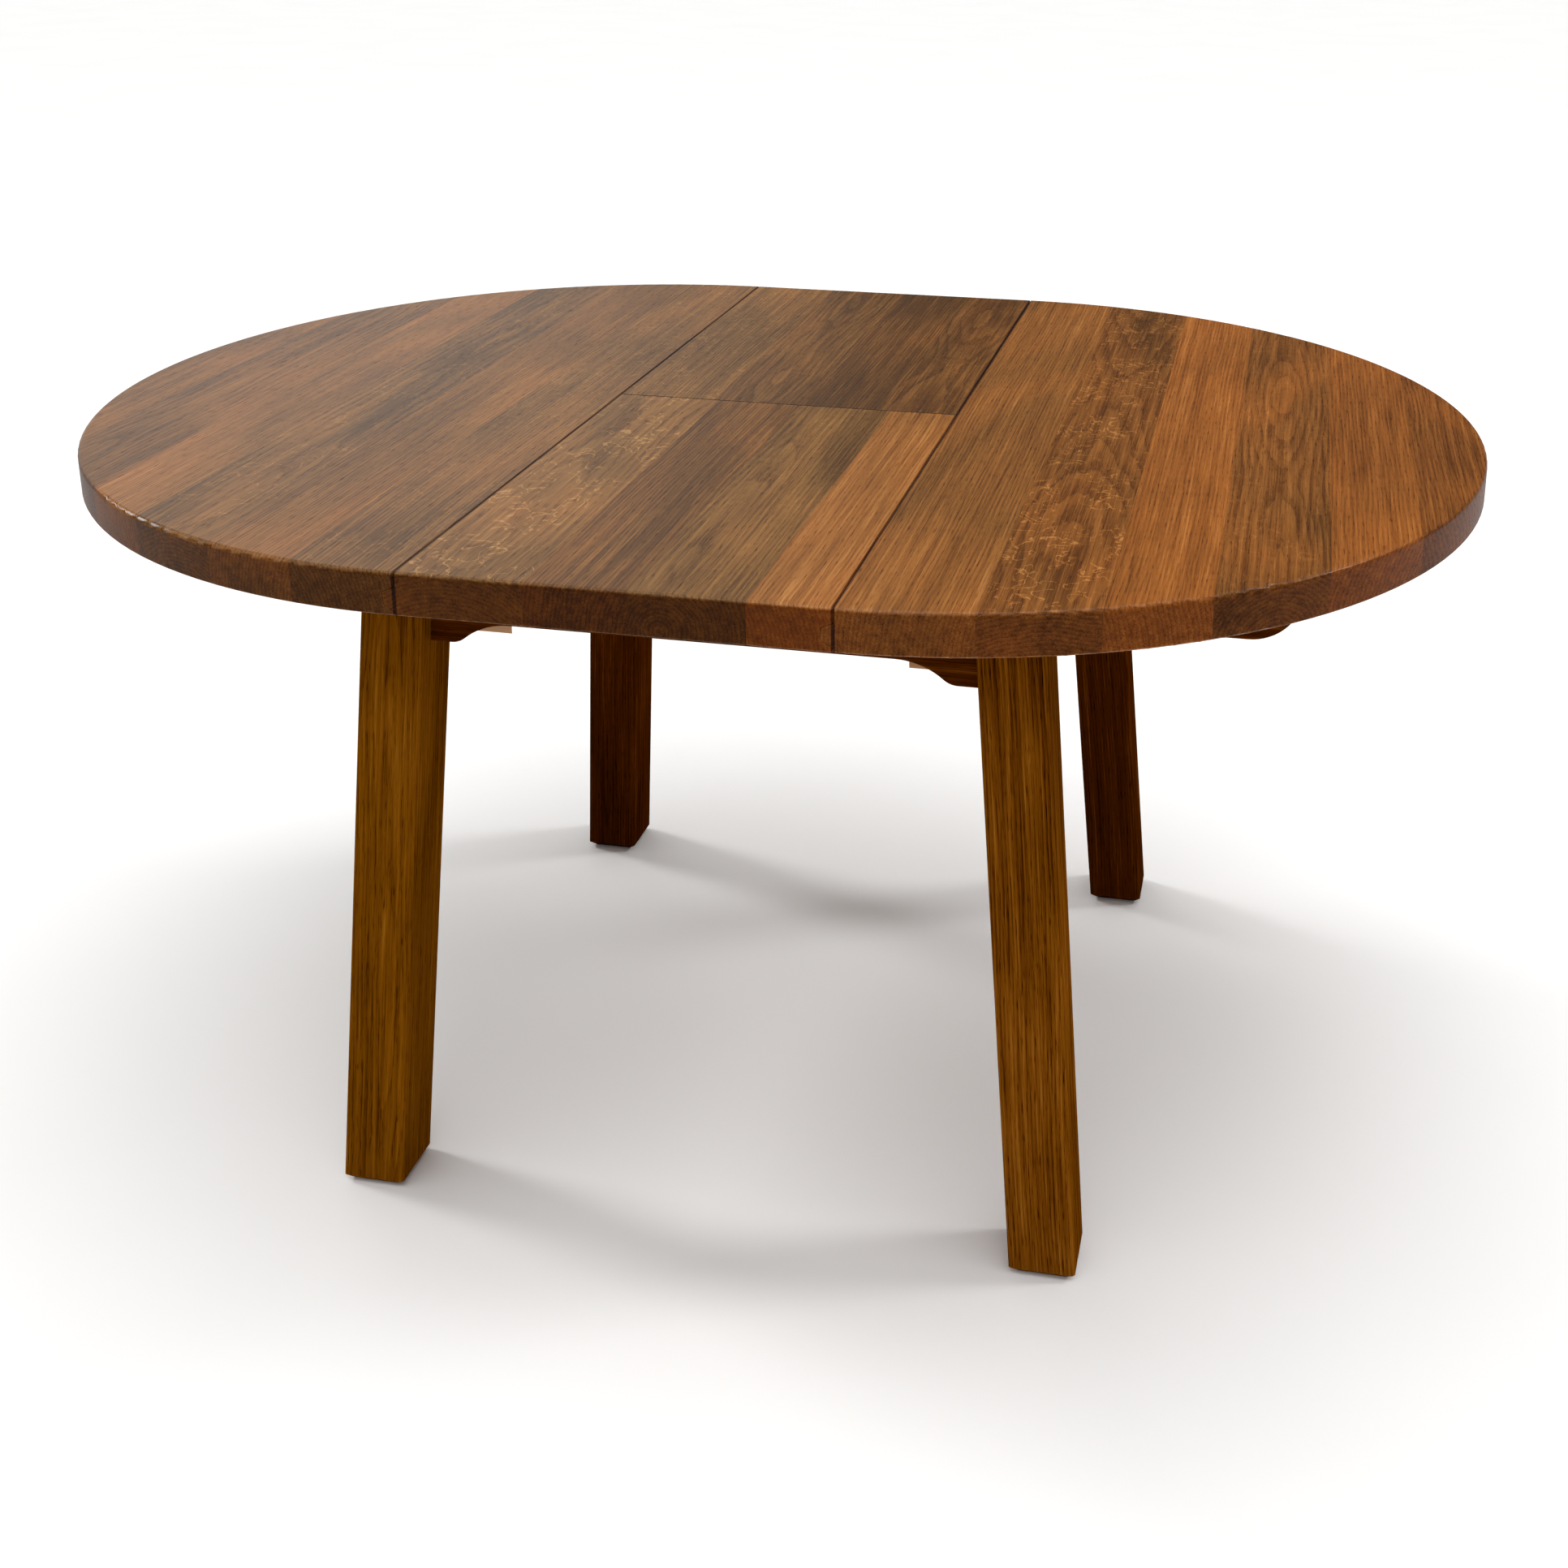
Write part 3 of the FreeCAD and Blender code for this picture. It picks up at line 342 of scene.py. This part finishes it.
def ray_flecks(graph, place, figure, flat):
    """Short pale ribbons of the rays in quarter-sawn oak, on the flat faces of figured boards."""
    ribbon = graph.centred(layer(graph, place, FLECK_PACE, 1.5, 0.5, 0.9))
    fleck = graph.fade(graph.math("ABSOLUTE", ribbon), 0.0, FLECK_WIDTH, 1.0, 0.0)
    patch = graph.fade(layer(graph, place, FLECK_PATCH_PACE, 2.0), *FLECK_PATCH_RANGE)
    broken = graph.fade(layer(graph, place, FLECK_BREAK_PACE, 1.0), *FLECK_BREAK_RANGE)
    for share in (patch, broken, figure, flat):
        fleck = graph.math("MULTIPLY", fleck, share)
    return fleck


def edge_wear_and_highlight(graph, streak):
    """Lighter wood in patches along the bent edges: rubbed wear and a painted highlight."""
    rounded = graph.node("Bevel", WEAR_AND_HIGHLIGHT_REACH, samples=4).outputs[0]
    sharp = graph.node("NewGeometry").outputs["Normal"]
    likeness = graph.node("VectorMath", rounded, sharp, operation="DOT_PRODUCT")
    worn_and_lit = graph.fade(likeness.outputs["Value"], *BENT_RANGE, 1.0, 0.0)
    return graph.math("MULTIPLY", worn_and_lit, graph.fade(streak, *WEAR_AND_HIGHLIGHT_PATCH_RANGE))


def seam_shade_line(graph, distance, facing):
    """Painted shade close to a seam, left off the hidden faces that meet in it."""
    line = graph.fade(distance, *SEAM_SHADE_REACH, SEAM_SHADE_WEIGHT, 0.0)
    outside = graph.fade(graph.math("ABSOLUTE", facing), *HIDDEN_RANGE, 1.0, 0.0)
    return graph.math("MULTIPLY", line, outside)


def seam_painted_shade(graph, piece):
    """Painted shade in the two seams beside the leaf and in the leaf's own joint."""
    coordinates = graph.node("TexCoord")
    x, y, _ = graph.split(coordinates.outputs["Object"])
    facing_x, facing_y, _ = graph.split(coordinates.outputs["Normal"])
    beside = graph.math("ABSOLUTE", graph.math("SUBTRACT", graph.math("ABSOLUTE", x), HALF_LEAF))
    # stain holds the painted shade of the seams.
    stain = seam_shade_line(graph, beside, facing_x)
    if piece == "leaf":
        joint = graph.math("MULTIPLY", graph.math("ABSOLUTE", y), JOINT_TIGHTNESS)
        stain = graph.math("MAXIMUM", stain, seam_shade_line(graph, joint, facing_y))
    return stain


def lightness(graph, grain, look, flat, options):
    """How light the wood is at each point, from 0 at its darkest to 1."""
    tone, _, figure = look
    contrast = options.get("contrast", 1.0)
    value = graph.math("SUBTRACT", tone, STAIN_DEPTH)
    for part, weight in (
        (grain.rings, RING_WEIGHT),
        (grain.fibre, FIBRE_WEIGHT),
        (grain.streak, STREAK_WEIGHT),
        (grain.blotch, BLOTCH_WEIGHT),
    ):
        value = graph.math("MULTIPLY_ADD", graph.centred(part), weight * contrast, value)
    value = graph.math("MULTIPLY_ADD", grain.pores, PORE_WEIGHT * contrast, value)
    flecks = ray_flecks(graph, grain.place, figure, flat)
    value = graph.math("MULTIPLY_ADD", flecks, FLECK_WEIGHT, value)
    # Lighter bent edges: rubbed wear, with a painted highlight on the rounded edges.
    value = graph.math("MULTIPLY_ADD", edge_wear_and_highlight(graph, grain.streak), WEAR_AND_HIGHLIGHT_WEIGHT, value)
    # Painted shade along the seams.
    if "seams" in options:
        value = graph.math("SUBTRACT", value, seam_painted_shade(graph, options["seams"]))
    # Painted shadow of the table's top darkens a front leg's upper part.
    if "top_shade" in options:
        height = graph.split(graph.node("TexCoord").outputs["Object"])[2]
        shade = graph.fade(height, PAINTED_SHADOW_START, PAINTED_SHADOW_FULL, 0.0, options["top_shade"])
        value = graph.math("SUBTRACT", value, shade)
    return value


def stained(graph, value, warmth, grain, flat, options):
    """The stain's colour at each point, with the upright faces soaked darker."""
    olive, warm = [graph.ramp(value, stops) for stops in options.get("palettes", (OLIVE, WARM))]
    drift = graph.math("MULTIPLY_ADD", graph.centred(grain.blotch), 0.8, warmth)
    colour = graph.blend(graph.fade(drift, 0.0, 1.0), olive, warm)
    soaked = graph.blend(1.0, colour, END_STAIN, "MULTIPLY")
    edge_on = graph.math("SUBTRACT", 1.0, flat)
    soaking = graph.math("MULTIPLY", edge_on, options.get("end_dark", 0.0))
    return graph.blend(soaking, colour, soaked)


def finish_wood(graph, grain, flat, options):
    """Gloss and relief. The soaked edges are dull: only the top's flat faces are varnished."""
    gloss = graph.math("MULTIPLY_ADD", grain.pores, 0.2, options.get("roughness", 0.4))
    graph.set("Roughness", graph.math("MULTIPLY_ADD", graph.centred(grain.streak), 0.12, gloss))
    graph.set("Specular IOR Level", options.get("specular", 0.05))
    if "end_dark" in options:
        graph.set("Coat Weight", graph.math("MULTIPLY", flat, VARNISH))
        graph.set("Coat Roughness", VARNISH_ROUGHNESS)
    relief = graph.math("MULTIPLY_ADD", grain.pores, PORE_RELIEF, grain.fibre)
    relief = graph.math("MULTIPLY_ADD", grain.rings, RING_RELIEF, relief)
    graph.bump(relief, *WOOD_RELIEF)


def wood(name, along, boards, start, **options):
    """Stained oak or plain beech, with grain along X, Y or a leg's Z.

    The options are a leg's lean, the surface that the pith lies under, two palettes, contrast,
    seed, end_dark (how much stain the edges drink), roughness, specular, seams and the painted
    shadow of the table's top on a front leg.
    """
    graph = Surface(name)
    axes = grain_axes(graph, along, options.get("lean", (0.0, 0.0)))
    look, pith, pith_depth, seed = board_ramps(graph, axes[0], start, boards)
    seed = graph.math("ADD", seed, options.get("seed", 0.0))
    surface = options.get("surface", TOP_HEIGHT)
    rings = ring_tone(graph, axes, pith, pith_depth, seed, surface)
    grain = Grain(graph, axes, rings, seed)
    flat = flatness(graph)
    value = lightness(graph, grain, look, flat, options)
    graph.set("Base Color", stained(graph, value, look[1], grain, flat, options))
    finish_wood(graph, grain, flat, options)
    return graph.material


# ---------------------------------------------------------------- the table's pieces

# The top's boards from left to right, each with its width, tone, warmth, figure, pith and depth.
LEFT_BOARDS = [
    Board(0.075, 0.45, 0.4, 0.0, 2.5, 0.02),
    Board(0.100, 0.40, 0.3, 0.0, 0.4, 0.05),
    Board(0.085, 0.48, 0.4, 0.1, -1.6, 0.03),
    Board(0.100, 0.41, 0.2, 0.5, 0.6, 0.09),
    Board(0.090, 0.46, 0.35, 0.0, 2.2, 0.05),
    Board(0.100, 0.44, 0.25, 0.4, -0.9, 0.06),
]
LEAF_FRONT_BOARDS = [
    Board(0.1126, 0.49, 0.25, 1.0, 0.4, 0.12),
    Board(0.0920, 0.38, 0.3, 0.1, 1.9, 0.05),
    Board(0.0999, 0.43, 0.15, 0.2, 0.3, 0.04),
    Board(0.0735, 0.57, 0.6, 0.0, -1.2, 0.05),
]
LEAF_REAR_BOARDS = [
    Board(0.1060, 0.46, 0.25, 0.5, 2.0, 0.06),
    Board(0.0980, 0.38, 0.25, 0.2, 0.5, 0.05),
    Board(0.0890, 0.33, 0.3, 0.1, -1.0, 0.04),
    Board(0.0850, 0.35, 0.35, 0.3, 0.5, 0.1),
]
RIGHT_BOARDS = [
    Board(0.112, 0.50, 0.55, 0.1, 2.3, 0.05),
    Board(0.100, 0.41, 0.55, 1.0, 0.5, 0.15),
    Board(0.086, 0.52, 0.8, 0.1, -1.4, 0.05),
    Board(0.094, 0.44, 0.6, 0.3, 0.5, 0.05),
    Board(0.082, 0.49, 0.8, 0.0, 1.9, 0.05),
    Board(0.076, 0.42, 0.7, 0.0, -0.8, 0.05),
]
# Each piece of the frame is cut from one board: its width, and where its face lies.
LEG_BOARD = 0.12
LEG_PLACE = 0.36
LONG_BOARD = 1.2
RAIL_SURFACE = 0.66
RUNNER_SURFACE = 0.7
BEECH_SURFACE = 0.63
# Stained frame wood, matt and yellower than the top.
MATT = {"palettes": (GOLDEN, BROWN), "specular": 0.0, "roughness": 0.5}


def top_materials():
    leaf = {"end_dark": 1.0, "seams": "leaf"}
    return {
        "top_left_half": wood("oak_left", "Y", LEFT_BOARDS, -TOP_RADIUS - HALF_LEAF,
                              seed=0.1, end_dark=0.8, seams="half"),
        "top_right_half": wood("oak_right", "Y", RIGHT_BOARDS, HALF_LEAF,
                               seed=0.5, end_dark=0.65, seams="half"),
        "leaf_front_panel": wood("oak_leaf_front", "Y", LEAF_FRONT_BOARDS, -HALF_LEAF,
                                 seed=1.2, **leaf),
        "leaf_rear_panel": wood("oak_leaf_rear", "Y", LEAF_REAR_BOARDS, -HALF_LEAF,
                                seed=2.1, **leaf),
    }


def leg_material(name, side_x, side_y, board, **options):
    """A leg's grain follows its lean, so it runs parallel to the leg's edges."""
    lean = (side_x * LEG_LEAN_X, side_y * LEG_LEAN_Y)
    start = side_x * LEG_PLACE - board.width / 2
    surface = side_y * LEG_PLACE
    return wood(name, "Z", [board], start, lean=lean, surface=surface, **MATT, **options)


def leg_materials():
    golden = Board(LEG_BOARD, 0.5, 0.15, 0.0, 0.6, 0.05)
    lined = Board(LEG_BOARD, 0.5, 0.6, 0.0, 1.5, 0.06)
    # The rear legs' boards are dark in tone: their stain, deepened further as painted shade from
    # under the table.
    dark = Board(LEG_BOARD, 0.27, 0.95, 0.0, 0.5, 0.05)
    darker = Board(LEG_BOARD, 0.29, 1.0, 0.0, 1.2, 0.05)
    return {
        # The front legs carry a painted shadow of the table's top on their upper part.
        "leg_front_left": leg_material("oak_leg_front_left", -1, -1, golden,
                                       seed=0.3, top_shade=0.14),
        "leg_front_right": leg_material("oak_leg_front_right", 1, -1, lined,
                                        seed=0.6, contrast=1.35, top_shade=0.07),
        "leg_rear_left": leg_material("oak_leg_rear_left", -1, 1, dark, seed=0.9),
        "leg_rear_right": leg_material("oak_leg_rear_right", 1, 1, darker, seed=1.4),
    }


def long_material(name, along, board, surface, seed, **finish):
    """A long piece cut from one board that is centred on the table."""
    return wood(name, along, [board], -board.width / 2, surface=surface, seed=seed, **finish)


def frame_materials():
    # The rails' board is dark in tone: its stain, deepened further as painted shade under the top.
    rail_board = Board(LONG_BOARD, 0.24, 0.9, 0.0, 0.5, 0.04)
    runner_board = Board(LONG_BOARD, 0.36, 0.85, 0.0, 0.5, 0.04)
    long_rail = long_material("oak_long_rail", "X", rail_board, RAIL_SURFACE, 0.2, **MATT)
    short_rail = long_material("oak_end_rail", "Y", rail_board, RAIL_SURFACE, 0.7, **MATT)
    runner = long_material("oak_runner", "X", runner_board, RUNNER_SURFACE, 1.1, **MATT)
    made = leg_materials()
    for name in ("rail_front", "rail_rear"):
        made[name] = long_rail
    for name in ("rail_left", "rail_right"):
        made[name] = short_rail
    for side in ("left", "right"):
        for end in ("front", "rear"):
            made[f"runner_{side}_{end}"] = runner
    return made


# Unstained beech inside the frame.
PALE_BEECH = [
    (0.0, linear(120, 84, 54)),
    (0.4, linear(172, 132, 94)),
    (1.0, linear(214, 180, 140)),
]
PINK_BEECH = [
    (0.0, linear(124, 78, 50)),
    (0.4, linear(180, 128, 92)),
    (1.0, linear(222, 176, 138)),
]

METAL_RELIEF = (0.2, 0.0001)
BRASS = (linear(172, 132, 62), linear(214, 178, 104))
ZINC = (linear(150, 152, 154), linear(196, 198, 198))


def beech(name, along, seed):
    board = Board(LONG_BOARD, 0.5, 0.5, 0.5, 0.5, 0.05)
    return long_material(name, along, board, BEECH_SURFACE, seed, contrast=0.7, roughness=0.55,
                         palettes=(PALE_BEECH, PINK_BEECH))


def metal(name, colours, roughness, brushing):
    """Turned metal: fine brushed lines and a little tarnish."""
    graph = Surface(name)
    point = graph.node("TexCoord").outputs["Object"]
    brushed = graph.noise(graph.stretch(point, *brushing), 3.0, 0.6)
    tarnish = graph.noise(graph.stretch(point, 90.0, 90.0, 90.0), 4.0, 0.55)
    colour = graph.ramp(graph.fade(tarnish, 0.35, 0.7), [(0.0, colours[0]), (1.0, colours[1])])
    graph.set("Base Color", colour)
    graph.set("Metallic", 1.0)
    gloss = graph.math("MULTIPLY_ADD", brushed, 0.25, roughness)
    graph.set("Roughness", graph.math("MULTIPLY_ADD", tarnish, 0.2, gloss))
    graph.bump(brushed, *METAL_RELIEF)
    return graph.material


def inner_materials():
    brass = metal("brass", BRASS, 0.18, (80.0, 900.0, 900.0))
    steel = metal("zinc_steel", ZINC, 0.25, (700.0, 700.0, 60.0))
    across = beech("beech_blocks", "X", 0.4)
    lengthwise = beech("beech_battens", "Y", 0.9)
    pegs = beech("beech_pegs", "Z", 1.3)
    made = {}
    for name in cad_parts:
        if name.startswith("corner_block"):
            made[name] = across
        elif name.startswith(("shelf_batten", "centre_bearer")):
            made[name] = lengthwise
        elif name.startswith(("bearer_dowels", "stop_pegs")):
            made[name] = pegs
        elif name.startswith(("hinge_barrels", "hinge_links", "hinge_pins")):
            made[name] = brass
        elif name.startswith(("leg_bolts", "leg_nuts", "runner_screws")):
            made[name] = steel
    return made


def dress():
    made = {**top_materials(), **frame_materials(), **inner_materials()}
    for name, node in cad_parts.items():
        for place in node.material_slots:
            place.material = made[name]


# ---------------------------------------------------------------- studio

FLOOR_HALF = 40.0
# The floor lies this far under the feet, so that the two surfaces don't coincide.
FLOOR_DROP = 0.0004
FLOOR_GREYS = [(0.3, (0.92, 0.92, 0.92)), (0.7, (0.94, 0.94, 0.94))]


def make_floor():
    low, high = -FLOOR_HALF, FLOOR_HALF
    mesh = bpy.data.meshes.new("floor")
    corners = [(low, low, 0.0), (high, low, 0.0), (high, high, 0.0), (low, high, 0.0)]
    mesh.from_pydata(corners, [], [(0, 1, 2, 3)])
    floor = bpy.data.objects.new("floor", mesh)
    bpy.context.collection.objects.link(floor)
    floor.location.z = -FLOOR_DROP
    graph = Surface("pale_floor")
    point = graph.node("TexCoord").outputs["Object"]
    cloud = graph.noise(graph.stretch(point, 2.0, 2.0, 2.0), 2.0)
    graph.set("Base Color", graph.ramp(cloud, FLOOR_GREYS))
    graph.set("Roughness", 0.9)
    graph.set("Specular IOR Level", 0.0)
    mesh.materials.append(graph.material)


# An area light's power over its area, for each unit of its radiance.
POWER_SHARE = 4.0


def make_light(name, place, target, size, radiance):
    """A soft box of the given width and height, turned towards its target."""
    lamp = bpy.data.lights.new(name, "AREA")
    lamp.shape = "RECTANGLE"
    lamp.size, lamp.size_y = size
    lamp.energy = radiance * POWER_SHARE * size[0] * size[1]
    box = bpy.data.objects.new(name, lamp)
    box.location = place
    aim = Vector(target) - Vector(place)
    box.rotation_euler = aim.to_track_quat("-Z", "Y").to_euler()
    bpy.context.collection.objects.link(box)


WARM_WHITE = (1.0, 0.995, 0.985, 1.0)
# The heights where the sky starts to brighten and where it is full, and its strength at each.
SKY = (0.38, 0.8, 0.08, 1.03)
# Soft glows in the sky: direction, cosines where each starts and is full, and strength. The
# first gives the top its greyish sheen at the rear left, the others edge the rim with light.
GLOWS = [
    ((-0.68, 0.72, 0.26), 0.84, 0.98, 1.0),
    ((0.75, 0.25, 0.62), 0.992, 0.998, 24.0),
    ((-0.75, 0.2, 0.62), 0.992, 0.998, 30.0),
]


def make_world():
    """Bright overhead and dim near the horizon, with soft glows."""
    world = bpy.data.worlds.new("studio")
    world.use_nodes = True
    graph = Graph(world.node_tree)
    backdrop = graph.tree.nodes["Background"]
    backdrop.inputs["Color"].default_value = WARM_WHITE
    toward = graph.node("TexCoord").outputs["Generated"]
    total = graph.fade(graph.split(toward)[2], *SKY)
    for direction, outer, inner, strength in GLOWS:
        middle = Vector(direction).normalized()
        nearness = graph.node("VectorMath", toward, middle, operation="DOT_PRODUCT")
        glow = graph.fade(nearness.outputs["Value"], outer, inner, 0.0, strength)
        total = graph.math("ADD", total, glow)
    graph.feed(backdrop.inputs["Strength"], total)
    bpy.context.scene.world = world


def make_lights():
    make_world()
    make_light("overhead", (0.4, -0.4, 4.4), (0.1, 0.0, 0.0), (4.5, 3.6), 1.45)
    make_light("front_fill", (1.2, -4.6, 3.6), (0.0, 0.0, 0.5), (3.5, 2.0), 0.75)


# The camera stands at the table's front right and looks down on it. Angles are in radians.
CAMERA_PLACE = (0.5360, -1.9188, 1.3463)
CAMERA_HEADING = 0.1809
CAMERA_PITCH = 0.2883
CAMERA_ROLL = 0.0097
SENSOR_WIDTH = 36.0
FOCAL_LENGTH = 43.57
# The framing is off the lens's axis.
CAMERA_SHIFT = (-0.108, -0.240)


def make_camera():
    lens = bpy.data.cameras.new("camera")
    lens.sensor_width = SENSOR_WIDTH
    lens.lens = FOCAL_LENGTH
    lens.shift_x, lens.shift_y = CAMERA_SHIFT
    camera = bpy.data.objects.new("camera", lens)
    heading = Matrix.Rotation(CAMERA_HEADING, 4, "Z")
    tilt = Matrix.Rotation(math.pi / 2 - CAMERA_PITCH, 4, "X")
    roll = Matrix.Rotation(CAMERA_ROLL, 4, "Z")
    camera.matrix_world = Matrix.Translation(CAMERA_PLACE) @ heading @ tilt @ roll
    bpy.context.collection.objects.link(camera)
    bpy.context.scene.camera = camera


make_camera()
make_floor()
make_lights()
dress()
bpy.context.scene.view_settings.view_transform = "Standard"
